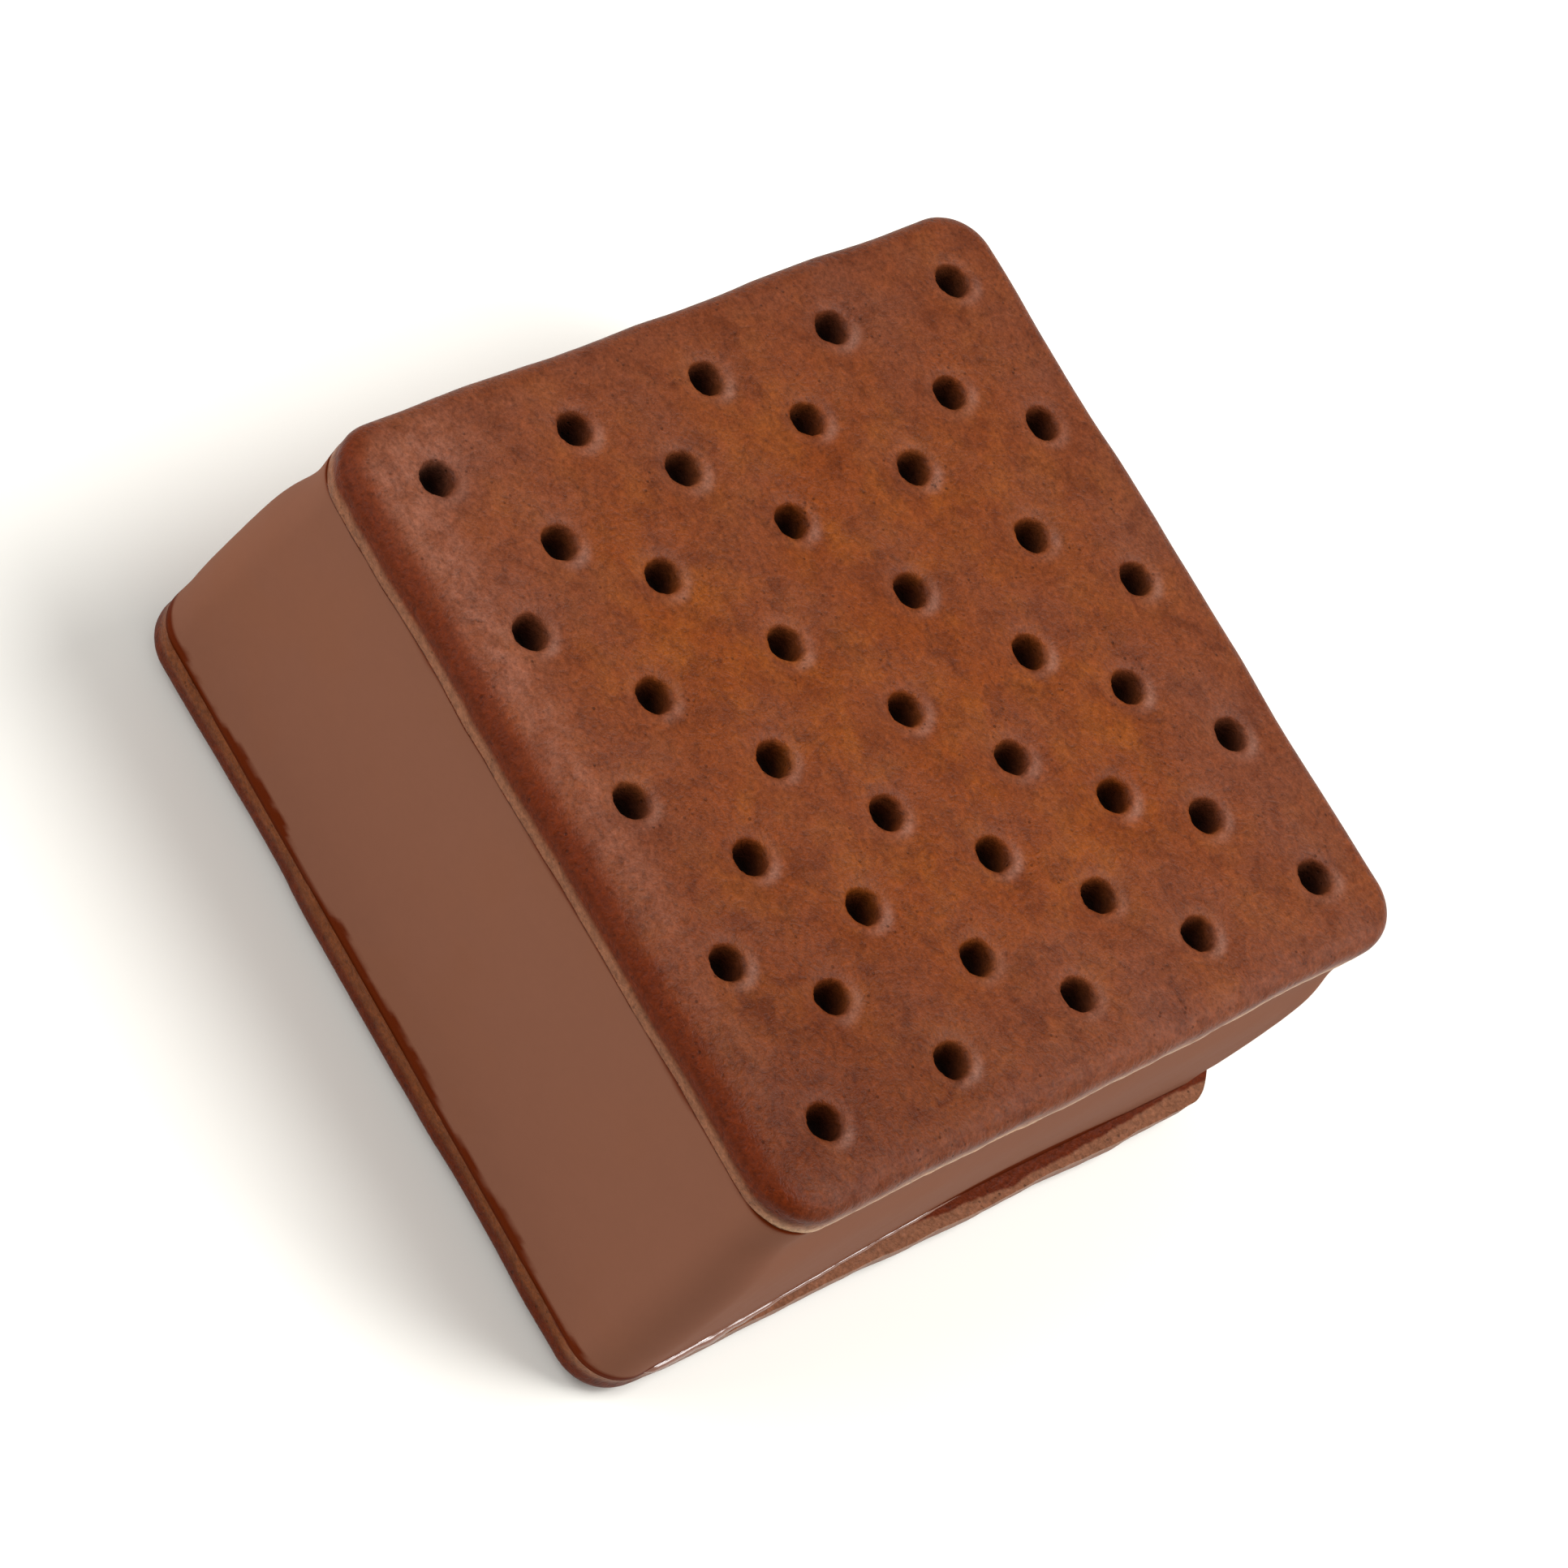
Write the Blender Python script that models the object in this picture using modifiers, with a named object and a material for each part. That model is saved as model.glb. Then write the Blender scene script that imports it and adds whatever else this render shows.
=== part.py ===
"""A square ice cream sandwich: a block of chocolate ice cream between two docked chocolate wafers.

It lies flat on its lower wafer. Metres, +Z up, with the origin at the middle of the footprint.
"""
import math
import random

import bmesh
import bpy
from mathutils import Matrix, Vector

# Driving dimensions
HEIGHT = 0.0364                     # from the lower wafer's outer face to the upper wafer's
BASE_SIDE = 0.0777                  # side of the lower wafer, which spread a little more as it baked
TOP_SIDE = 0.0757                   # side of the upper wafer
TOP_TURN = math.radians(0.8)        # the upper wafer sits slightly turned on the ice cream
TOP_SHIFT = Vector((-0.0005, 0.0002, 0.0))      # and slightly to one side
WAFER_THICKNESS = 0.0042
CORNER_RADIUS = 0.0052              # corners of the wafers, seen from above
RIM_RADIUS = 0.0022                 # roll-off from a wafer's outer face into its side
INNER_RIM = 0.0003                  # small break of the edge that meets the ice cream
CLEARANCE = 0.0003                  # between the ice cream and each wafer

# Docker holes, as shares of the wafer's side
PIN_PITCH = 0.199                   # between neighbouring holes of one row
PIN_DRIFT = 0.008                   # the whole pattern sits this far towards +Y
PIN_JITTER = 0.004                  # how far the baked dough carries a hole off its place
# Each row: its place along X, how many holes, and how far its outer holes lie from that line
PIN_ROWS = (
    (-0.404, 5, 0.000),
    (-0.318, 4, 0.032),
    (-0.218, 5, 0.008),
    (-0.091, 4, 0.000),
    (0.031, 5, -0.030),
    (0.126, 4, -0.016),
    (0.215, 5, -0.009),
    (0.313, 4, -0.030),
    (0.399, 5, 0.000),
)

# One docker hole, from its mouth to its floor
MOUTH_RADIUS = 0.0027
THROAT_RADIUS = 0.00155
THROAT_DEPTH = 0.0007
FLOOR_RADIUS = 0.0011
FLOOR_DEPTH = 0.0033
PIN_OVERSHOOT = 0.0004              # how far the cutter stands out of the wafer
PIN_STEPS = 10

# Ice cream
FILLING_INSET = 0.0004              # how far it stays inside the wafers where it meets them
FILLING_CORNER = 0.0046
UPPER_NECK = 0.0007                 # the sides draw in below the upper wafer
UPPER_NECK_AT = 0.86
UPPER_NECK_SPREAD = 0.13
LOWER_NECK = 0.0001                 # and a little above the lower one
LOWER_NECK_AT = 0.10
LOWER_NECK_SPREAD = 0.08
RIGHT_LEAN = 0.0019                 # the right side leans in towards the lower wafer, most at the back
SIDE_BULGE = {"left": 0.0003, "right": 0.0003, "front": 0.0001, "back": 0.0005}
FILLING_LEVELS = 11
FILLING_COLUMNS = 5


def make_collection(name):
    collection = bpy.data.collections.new(name)
    bpy.context.scene.collection.children.link(collection)
    return collection


def make_material(name, color, roughness):
    material = bpy.data.materials.new(name)
    material.use_nodes = True
    shader = material.node_tree.nodes["Principled BSDF"]
    shader.inputs["Base Color"].default_value = (*color, 1.0)
    shader.inputs["Roughness"].default_value = roughness
    shader.inputs["Metallic"].default_value = 0.0
    return material


def make_object(name, mesh, collection):
    piece = bpy.data.objects.new(name, mesh)
    collection.objects.link(piece)
    return piece


def mesh_from(bm, name):
    bmesh.ops.recalc_face_normals(bm, faces=bm.faces)
    mesh = bpy.data.meshes.new(name)
    bm.to_mesh(mesh)
    bm.free()
    return mesh


def rounded_block(side, height, corner_radius, segments):
    """A square block on z = 0 whose four upright edges are rounded."""
    bm = bmesh.new()
    bmesh.ops.create_cube(bm, size=1.0)
    bmesh.ops.scale(bm, vec=(side, side, height), verts=bm.verts)
    bmesh.ops.translate(bm, vec=(0.0, 0.0, height / 2), verts=bm.verts)
    upright = [e for e in bm.edges if abs(e.verts[0].co.z - e.verts[1].co.z) > height / 2]
    bmesh.ops.bevel(
        bm, geom=upright, offset=corner_radius, offset_type="OFFSET",
        segments=segments, profile=0.5, affect="EDGES",
    )
    return bm


def round_rim(bm, height, radius, segments):
    """Round the edges that lie wholly at one height."""
    rim = [e for e in bm.edges if all(abs(v.co.z - height) < 1e-6 for v in e.verts)]
    bmesh.ops.bevel(
        bm, geom=rim, offset=radius, offset_type="OFFSET",
        segments=segments, profile=0.5, affect="EDGES",
    )


def pin_places(side, seed):
    """Centres of the docker holes on a wafer, in rows of five and four in turn."""
    dice = random.Random(seed)
    places = []
    for along_x, count, bow in PIN_ROWS:
        for i in range(count):
            step = i - (count - 1) / 2
            outer = abs(step) / ((count - 1) / 2)
            x = along_x + bow * outer ** 2 + dice.uniform(-PIN_JITTER, PIN_JITTER)
            y = PIN_DRIFT + step * PIN_PITCH + dice.uniform(-PIN_JITTER, PIN_JITTER)
            places.append((x * side, y * side))
    return places


def docker_pin():
    """One hole's shape as a closed turned solid, with its mouth at z = 0 and its tip below."""
    profile = (
        (0.0, PIN_OVERSHOOT),
        (MOUTH_RADIUS + PIN_OVERSHOOT, PIN_OVERSHOOT),
        (MOUTH_RADIUS, 0.0),
        (THROAT_RADIUS, -THROAT_DEPTH),
        (FLOOR_RADIUS, -FLOOR_DEPTH),
        (0.0, -FLOOR_DEPTH),
    )
    bm = bmesh.new()
    points = [bm.verts.new((radius, 0.0, z)) for radius, z in profile]
    for start, end in zip(points, points[1:]):
        bm.edges.new((start, end))
    mesh = bpy.data.meshes.new("docker_pin_profile")
    bm.to_mesh(mesh)
    bm.free()
    pin = make_object("docker_pin_profile", mesh, cutters)
    screw = pin.modifiers.new("turn", "SCREW")
    screw.steps = PIN_STEPS
    screw.render_steps = PIN_STEPS
    screw.use_merge_vertices = True
    screw.merge_threshold = 0.00001
    turned = bpy.data.meshes.new_from_object(pin.evaluated_get(bpy.context.evaluated_depsgraph_get()))
    bpy.data.objects.remove(pin)
    return turned


def pin_field(name, side, seed, pin_mesh):
    """All the holes of one wafer as a single cutter, in the wafer's own frame."""
    bm = bmesh.new()
    for x, y in pin_places(side, seed):
        first = len(bm.verts)
        bm.from_mesh(pin_mesh)
        bm.verts.ensure_lookup_table()
        bmesh.ops.translate(bm, vec=(x, y, WAFER_THICKNESS), verts=bm.verts[first:])
    bmesh.ops.remove_doubles(bm, verts=bm.verts, dist=0.00001)
    cutter = make_object(name, mesh_from(bm, name), cutters)
    cutter.hide_render = True
    cutter.display_type = "WIRE"
    return cutter


def make_wafer(name, side, seed, material, pin_mesh):
    """A wafer in its own frame: inner face on z = 0, docked outer face above it."""
    bm = rounded_block(side, WAFER_THICKNESS, CORNER_RADIUS, 6)
    round_rim(bm, WAFER_THICKNESS, RIM_RADIUS, 4)
    round_rim(bm, 0.0, INNER_RIM, 1)
    wafer = make_object(name, mesh_from(bm, name), sandwich)
    wafer.data.materials.append(material)
    cutter = pin_field(name + "_pins", side, seed, pin_mesh)
    cutter.parent = wafer
    cut = wafer.modifiers.new("docker holes", "BOOLEAN")
    cut.operation = "DIFFERENCE"
    cut.solver = "EXACT"
    cut.object = cutter
    wafer.data.shade_smooth()
    wafer.data.set_sharp_from_angle(angle=math.radians(40))
    return wafer


def hump(share, centre, spread):
    return math.exp(-((share - centre) / spread) ** 2)


def ramp(value, start, end):
    share = max(0.0, min(1.0, (value - start) / (end - start)))
    return share * share * (3 - 2 * share)


def filling_point(point, side, height):
    """Where a point of the straight block lies on the real sides of the ice cream."""
    share = point.z / height
    reach = side / 2
    neck = UPPER_NECK * hump(share, UPPER_NECK_AT, UPPER_NECK_SPREAD)
    neck += LOWER_NECK * hump(share, LOWER_NECK_AT, LOWER_NECK_SPREAD)
    swell = math.sin(math.pi * share)
    across_x = max(-1.0, min(1.0, point.x / reach))
    across_y = max(-1.0, min(1.0, point.y / reach))
    bulge_x = SIDE_BULGE["right"] if across_x > 0 else SIDE_BULGE["left"]
    bulge_y = SIDE_BULGE["back"] if across_y > 0 else SIDE_BULGE["front"]
    out_x = bulge_x * swell * (1 - 0.5 * across_y ** 2) - neck
    if across_x > 0:
        out_x -= RIGHT_LEAN * (1 - share) * ramp(across_y, -1.0, 0.3)
    out_y = bulge_y * swell * (1 - 0.5 * across_x ** 2) - neck
    x = point.x + across_x ** 3 * out_x
    y = point.y + across_y ** 3 * out_y
    spread = 1 + (TOP_SIDE / BASE_SIDE - 1) * share
    turned = Matrix.Rotation(TOP_TURN * share, 3, "Z") @ Vector((x * spread, y * spread, 0.0))
    return turned + TOP_SHIFT * share + Vector((0.0, 0.0, point.z))


def make_filling(name, material):
    """The ice cream, lofted from the lower wafer's outline to the upper one's."""
    side = BASE_SIDE - 2 * FILLING_INSET
    height = HEIGHT - 2 * (WAFER_THICKNESS + CLEARANCE)
    bm = rounded_block(side, height, FILLING_CORNER, 6)
    cuts = [((0, 0, height * i / FILLING_LEVELS), (0, 0, 1)) for i in range(1, FILLING_LEVELS)]
    flat = side / 2 - FILLING_CORNER
    for i in range(1, FILLING_COLUMNS):
        offset = flat * (2 * i / FILLING_COLUMNS - 1)
        cuts.append(((offset, 0, 0), (1, 0, 0)))
        cuts.append(((0, offset, 0), (0, 1, 0)))
    for place, normal in cuts:
        geometry = bm.verts[:] + bm.edges[:] + bm.faces[:]
        bmesh.ops.bisect_plane(bm, geom=geometry, dist=1e-7, plane_co=place, plane_no=normal)
    for vert in bm.verts:
        vert.co = filling_point(vert.co, side, height)
    filling = make_object(name, mesh_from(bm, name), sandwich)
    filling.data.materials.append(material)
    filling.data.shade_smooth()
    filling.data.set_sharp_from_angle(angle=math.radians(50))
    filling.location = (0.0, 0.0, WAFER_THICKNESS + CLEARANCE)
    return filling


for old in list(bpy.data.objects):
    bpy.data.objects.remove(old, do_unlink=True)

sandwich = make_collection("ice_cream_sandwich")
cutters = make_collection("cutters")
cutters.hide_render = True

wafer_brown = make_material("chocolate_wafer", (0.235, 0.070, 0.028), 0.55)
filling_brown = make_material("chocolate_ice_cream", (0.235, 0.095, 0.060), 0.35)
pin = docker_pin()

wafer_bottom = make_wafer("wafer_bottom", BASE_SIDE, 11, wafer_brown, pin)
wafer_bottom.rotation_euler = (0.0, math.pi, 0.0)
wafer_bottom.location = (0.0, 0.0, WAFER_THICKNESS)

ice_cream = make_filling("ice_cream", filling_brown)

wafer_top = make_wafer("wafer_top", TOP_SIDE, 7, wafer_brown.copy(), pin)
wafer_top.rotation_euler = (0.0, 0.0, TOP_TURN)
wafer_top.location = TOP_SHIFT + Vector((0.0, 0.0, HEIGHT - WAFER_THICKNESS))
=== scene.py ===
# %% [markdown]
# # A square ice cream sandwich
# The finished CAD part holds the sizes: two docked chocolate wafers and a block of ice cream.
# This script dresses that part. It loads the part as a fixed frame, makes a finely detailed
# mesh for each layer and for the ice cream that has melted at one foot, gives every piece a
# procedural material, and lights it softly.

# %% Load the fixed frame
import math
import random

import bmesh
import bpy
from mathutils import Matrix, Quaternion, Vector


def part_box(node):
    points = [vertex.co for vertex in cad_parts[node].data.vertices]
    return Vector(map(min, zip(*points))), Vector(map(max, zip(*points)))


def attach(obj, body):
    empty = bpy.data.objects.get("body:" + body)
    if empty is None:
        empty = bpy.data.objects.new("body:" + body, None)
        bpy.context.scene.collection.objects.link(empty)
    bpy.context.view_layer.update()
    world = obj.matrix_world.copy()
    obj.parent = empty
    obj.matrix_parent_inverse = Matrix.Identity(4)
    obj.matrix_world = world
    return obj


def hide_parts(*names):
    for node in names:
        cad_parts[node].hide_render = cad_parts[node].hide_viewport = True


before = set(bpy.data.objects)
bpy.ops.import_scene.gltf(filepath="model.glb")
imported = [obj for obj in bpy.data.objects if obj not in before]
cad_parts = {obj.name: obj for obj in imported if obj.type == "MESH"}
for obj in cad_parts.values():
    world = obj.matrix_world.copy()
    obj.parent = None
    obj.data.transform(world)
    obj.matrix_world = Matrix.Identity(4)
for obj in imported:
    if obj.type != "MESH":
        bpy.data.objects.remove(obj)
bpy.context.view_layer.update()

MM = 0.001
print("nodes in the frame:", sorted(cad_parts))

# %% [markdown]
# ## Sizes
# Everything is measured from the frame, so the looks always fit the part. A layer's box gives
# its side and its thickness. The upper wafer was turned and slid a little when it was pressed
# on. The slide is the distance between the middles of the two wafers' boxes. The turn makes
# the box larger than the side, so it is taken back out of that box.

# %% Measure the layers
TOP_TURN = math.radians(0.8)
CORNER_RADIUS = 5.2 * MM
RIM_RADIUS = 2.2 * MM


def layer_corners(node):
    low, high = (Vector(corner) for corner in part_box(node))
    return low, high


base_low, base_high = layer_corners("wafer_bottom")
top_low, top_high = layer_corners("wafer_top")
WAFER_THICKNESS = base_high.z - base_low.z
BASE_SIDE = base_high.x - base_low.x
turned_half = (top_high.x - top_low.x) / 2
TOP_SHIFT = (top_low + top_high) / 2 - (base_low + base_high) / 2
TOP_SHIFT.z = 0.0
turn_growth = math.cos(TOP_TURN) + math.sin(TOP_TURN)
TOP_SIDE = 2 * ((turned_half - CORNER_RADIUS) / turn_growth + CORNER_RADIUS)
HEIGHT = top_high.z
print("wafer sides mm:", round(BASE_SIDE / MM, 2), round(TOP_SIDE / MM, 2))
print("wafer thickness and height mm:", round(WAFER_THICKNESS / MM, 2), round(HEIGHT / MM, 2))
print("the upper wafer is slid by mm:", [round(v / MM, 2) for v in TOP_SHIFT])

# %% [markdown]
# ## Arithmetic on sockets
# Geometry and shader trees both do their sums with Math nodes. Placing and wiring those by hand
# hides the formula, so a small class stands for one socket that carries a number. An ordinary
# Python expression on it adds the Math nodes. All other nodes come from one method, `add`,
# which sets a node's settings first and then its sockets.


# %% A socket that can be used in sums
class Num:
    """A number in a node tree. Arithmetic on it adds Math nodes."""

    def __init__(self, graph, socket):
        self.graph = graph
        self.socket = socket

    def math(self, operation, *others):
        inputs = dict(enumerate((self, *others)))
        return self.graph.add("ShaderNodeMath", {"operation": operation}, inputs).num()

    def __add__(self, other):
        return self.math("ADD", other)

    def __sub__(self, other):
        return self.math("SUBTRACT", other)

    def __mul__(self, other):
        return self.math("MULTIPLY", other)

    def __truediv__(self, other):
        return self.math("DIVIDE", other)

    def __pow__(self, other):
        return self.math("POWER", other)

    def __rsub__(self, other):
        return (self * -1) + other

    __radd__ = __add__
    __rmul__ = __mul__

    def low(self, other):
        return self.math("MINIMUM", other)

    def high(self, other):
        return self.math("MAXIMUM", other)

    def size(self):
        return self.math("ABSOLUTE")

    def sine(self):
        return self.math("SINE")

    def cosine(self):
        return self.math("COSINE")

    def hump(self, centre, spread):
        """1 at the centre, falling away on both sides like a bell."""
        away = (self - centre) / spread
        return (away * away * -1).math("EXPONENT")

    def step(self, start, end):
        """A smooth climb from 0 at start to 1 at end."""
        settings = {"interpolation_type": "SMOOTHSTEP", "clamp": True}
        sockets = {"Value": self, "From Min": start, "From Max": end}
        return self.graph.add("ShaderNodeMapRange", settings, sockets).num()


# %% A tree that nodes are added to
class Made:
    """A node that was just added, with short ways to its outputs."""

    def __init__(self, graph, node):
        self.graph = graph
        self.node = node

    def out(self, name=0):
        return self.node.outputs[name]

    def num(self, name=0):
        return Num(self.graph, self.node.outputs[name])


class Graph:
    """A geometry or shader tree, and the one method that adds nodes to it."""

    def __init__(self, tree):
        self.tree = tree

    def add(self, kind, settings=None, sockets=None):
        node = self.tree.nodes.new(kind)
        for name, value in (settings or {}).items():
            setattr(node, name, value)
        for name, value in (sockets or {}).items():
            self.feed(node.inputs[name], value)
        return Made(self, node)

    def feed(self, socket, value):
        if isinstance(value, Made):
            value = value.out()
        if isinstance(value, Num):
            value = value.socket
        if isinstance(value, bpy.types.NodeSocket):
            self.tree.links.new(value, socket)
        else:
            socket.default_value = value

    def vector(self, operation, *values, **named):
        sockets = dict(enumerate(values))
        sockets.update(named)
        return self.add("ShaderNodeVectorMath", {"operation": operation}, sockets)

    def parts(self, vector):
        made = self.add("ShaderNodeSeparateXYZ", None, {0: vector})
        return made.num("X"), made.num("Y"), made.num("Z")

    def join(self, x, y, z):
        return self.add("ShaderNodeCombineXYZ", None, {"X": x, "Y": y, "Z": z})

    def noise(self, place, scale, detail=2.0, roughness=0.5, distortion=0.0):
        sockets = {"Vector": place, "Scale": scale, "Detail": detail}
        sockets.update({"Roughness": roughness, "Distortion": distortion})
        return self.add("ShaderNodeTexNoise", {"noise_dimensions": "3D"}, sockets).num(0)


# %% [markdown]
# ## Running a Geometry Nodes tree
# Each tree is built in this script. Its inputs have names, but a modifier wants the socket's
# identifier, so `run_tree` looks that up. It then evaluates the object, keeps the result as a
# plain mesh at the origin, and drops the object that held the modifier. Every tree ends in the
# same way: smooth faces, real geometry instead of instances, and the piece's material.


# %% Helpers for geometry trees
def new_geometry_tree(name, inputs):
    tree = bpy.data.node_groups.new(name, "GeometryNodeTree")
    tree.interface.new_socket("Geometry", in_out="INPUT", socket_type="NodeSocketGeometry")
    for label, kind in inputs:
        tree.interface.new_socket(label, in_out="INPUT", socket_type="NodeSocket" + kind)
    tree.interface.new_socket("Geometry", in_out="OUTPUT", socket_type="NodeSocketGeometry")
    graph = Graph(tree)
    return graph, graph.add("NodeGroupInput")


def finish_tree(graph, geometry, material):
    smooth = graph.add("GeometryNodeSetShadeSmooth", None, {"Geometry": geometry})
    real = graph.add("GeometryNodeRealizeInstances", None, {"Geometry": smooth})
    dressed = graph.add("GeometryNodeSetMaterial", None, {"Geometry": real, "Material": material})
    graph.add("NodeGroupOutput", None, {"Geometry": dressed})
    return graph.tree


def run_tree(name, host_mesh, tree, values):
    host = bpy.data.objects.new(name + "_host", host_mesh)
    bpy.context.scene.collection.objects.link(host)
    modifier = host.modifiers.new("build", "NODES")
    modifier.node_group = tree
    for item in tree.interface.items_tree:
        if item.in_out == "INPUT" and item.name in values:
            modifier[item.identifier] = values[item.name]
    evaluated = host.evaluated_get(bpy.context.evaluated_depsgraph_get())
    mesh = bpy.data.meshes.new_from_object(evaluated)
    mesh.name = name
    bpy.data.objects.remove(host)
    piece = bpy.data.objects.new(name, mesh)
    bpy.context.scene.collection.objects.link(piece)
    return piece


WELD = 0.0005 * MM


def close_holes(piece):
    """Fill the open edge loops and set the normals to point outwards."""
    bm = bmesh.new()
    bm.from_mesh(piece.data)
    bmesh.ops.remove_doubles(bm, verts=bm.verts, dist=WELD)
    rim = [edge for edge in bm.edges if edge.is_boundary]
    bmesh.ops.holes_fill(bm, edges=rim, sides=0)
    caps = [face for face in bm.faces if len(face.verts) > 4]
    bmesh.ops.triangulate(bm, faces=caps)
    bmesh.ops.recalc_face_normals(bm, faces=bm.faces)
    open_edges = sum(not edge.is_manifold for edge in bm.edges)
    bm.to_mesh(piece.data)
    bm.free()
    triangles = sum(len(face.vertices) - 2 for face in piece.data.polygons)
    print(piece.name, "triangles:", triangles, "open edges:", open_edges)


# %% [markdown]
# ## Materials: small helpers
# Colours are mixed by Mix nodes, since a Math node would turn them grey. Every material reads
# object coordinates, so its pattern is fixed to the piece in real millimetres. Attributes carry
# what only the mesh knows, such as how far round the rim a point lies.


# %% Material helpers
def mix_colour(graph, share, first, second):
    made = graph.add("ShaderNodeMix", {"data_type": "RGBA"})
    colour_a, colour_b = (s for s in made.node.inputs if s.type == "RGBA")
    graph.feed(made.node.inputs[0], share)
    for socket, value in ((colour_a, first), (colour_b, second)):
        graph.feed(socket, (*value, 1.0) if isinstance(value, tuple) else value)
    return next(s for s in made.node.outputs if s.type == "RGBA")


def new_material(name):
    material = bpy.data.materials.new(name)
    material.use_nodes = True
    graph = Graph(material.node_tree)
    shader = material.node_tree.nodes["Principled BSDF"]
    place = graph.add("ShaderNodeTexCoord").out("Object")
    return material, graph, shader, place


def attribute(graph, name):
    return graph.add("ShaderNodeAttribute", {"attribute_name": name}).num("Fac")


def with_grain(graph, colour, shade):
    """A colour made lighter or darker by a number near 1."""
    return graph.vector("MULTIPLY", colour, graph.join(shade, shade, shade)).out()


# %% [markdown]
# ## Materials: the chocolate wafer's face
# The wafer is baked cocoa dough that has drunk water from the ice cream. Its face is orange
# brown with cooler purple clouds, more of them towards the edges. It is darker in small blotches
# and towards the front right corner. A dull pink painted sheen lies along the front, on the front
# left corner and along the right edge. The mesh carries four attributes for this: `edge` runs
# from 0 in the middle to 1 at the outermost point, `rim` from 0 on the face to 1 at the inner
# edge, `well` is 1 deep in a docker hole, where the colour is painted shade, and `lip` marks a
# painted highlight on the side of a hole that faces the light. Noise does the rest.


# %% Colours of the wafer
ORANGE_CRUST = (0.142, 0.028, 0.003)
AMBER_CRUST = (0.182, 0.044, 0.004)
PURPLE_CRUST = (0.116, 0.032, 0.014)
DARK_CRUST = (0.062, 0.010, 0.001)
# Dark red crust, also used as painted shade on the front of the rim.
RED_CRUST_AND_SHADE = (0.092, 0.012, 0.001)
# Painted sheen: the pink that lies along some edges of the face.
PINK_SHEEN = (0.255, 0.102, 0.064)
PALE_SIDE = (0.235, 0.100, 0.053)
BROWN_SIDE = (0.135, 0.030, 0.003)
# Painted highlight along the lower rim edge on the right.
TAN_RIM_HIGHLIGHT = (0.500, 0.300, 0.180)
# Painted shade deep inside the docker holes.
WELL_SHADE = (0.007, 0.002, 0.001)
# Painted highlight on the side of each docker hole that faces the light.
LIP_HIGHLIGHT = (0.250, 0.125, 0.090)
WET_COCOA = (0.092, 0.013, 0.002)
print("crust colours run from", ORANGE_CRUST, "to", DARK_CRUST)


# %% The wafer's face
def face_colour(graph, place, home, edge):
    """Orange brown, purple towards the edges, darker in blotches and towards one corner.
    A painted pink sheen lies along the front, on the front left corner and along the right edge.
    """
    x, y, _ = graph.parts(home)
    clouds = graph.noise(place, 85.0, 4.0, 0.60).step(0.38, 0.66)
    warmth = graph.noise(place, 210.0, 3.0, 0.6).step(0.40, 0.72)
    blotch = graph.noise(place, 330.0, 4.0, 0.65, 0.4).step(0.44, 0.70)
    corner = ((x - y) / TOP_SIDE).step(0.25, 1.0)
    purple = (edge.step(0.40, 0.95) * 0.55 + clouds * 0.45).low(1.0) * (1 - corner * 0.85)
    colour = mix_colour(graph, warmth * 0.75, ORANGE_CRUST, AMBER_CRUST)
    colour = mix_colour(graph, purple * 0.90, colour, PURPLE_CRUST)
    colour = mix_colour(graph, (corner * 0.70 + blotch * 0.50).low(0.85), colour, DARK_CRUST)
    # Painted sheen: a pink band along the front edge, the front left corner and the right edge.
    front_sheen = edge.hump(0.88, 0.065) * (y / TOP_SIDE * -2).step(0.60, 0.80) * (1 - corner * 0.9)
    left_corner_sheen = ((x + y) / TOP_SIDE * -1).step(0.40, 0.95)
    streaks = graph.noise(place, 620.0, 4.0, 0.7).step(0.36, 0.66)
    lit = (x / TOP_SIDE * 2).step(0.88, 0.98)
    pink_sheen = (front_sheen * 0.36 + left_corner_sheen * 0.14 + lit * 0.32) * (streaks * 0.7 + 0.3)
    return mix_colour(graph, pink_sheen, colour, PINK_SHEEN)


# %% [markdown]
# ## Materials: the wafer's rim and ledge
# Where the crust rolls over the rim it is darker and redder: a little all round as crust colour,
# much more on the front as painted shade. The side below is lighter, and a wet line of cocoa
# marks the joint with the ice cream. On the right a pale tan painted highlight runs along the
# lower edge. Cocoa has also run onto the ledge of the lower wafer, which stands out on that side.


# %% The wafer's rim
def rim_colour(graph, place, home, colour, joint, pale):
    """Dark red round the rim, most on the front, where it is painted shade; below it a lighter
    side, a painted highlight on the right, and a wet joint line.
    """
    x, y, _ = graph.parts(home)
    rim, edge = attribute(graph, "rim"), attribute(graph, "edge")
    wander = (graph.noise(place, 170.0, 3.0, 0.6) - 0.5) * 0.10
    front = (y / TOP_SIDE * -2).step(0.80, 0.96)
    right = (x / TOP_SIDE * 2).step(0.86, 0.97)
    reach = rim + wander - front * 0.16
    roll = (edge + wander * 0.4).step(0.915, 0.985) * (1 - reach.step(0.26, 0.44))
    # Painted shade: the rim roll is darkened a little all round and far more on the front.
    colour = mix_colour(graph, roll * (0.15 + front * 0.75), colour, RED_CRUST_AND_SHADE)
    below = reach.step(0.30, 0.52)
    flank = mix_colour(graph, right * 0.9 + (1 - right) * pale, BROWN_SIDE, PALE_SIDE)
    colour = mix_colour(graph, below * 0.85, colour, flank)
    # Painted highlight: a pale tan line along the lower rim edge on the right side.
    glint = (rim + wander * 0.5).hump(0.80, 0.13) * right * (rim - 0.999).step(0.0, -0.02)
    colour = mix_colour(graph, glint * joint, colour, TAN_RIM_HIGHLIGHT)
    line = (rim + wander * 0.4 - right * 0.06).step(0.84, 0.92)
    return mix_colour(graph, line * joint, colour, RED_CRUST_AND_SHADE)


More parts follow.
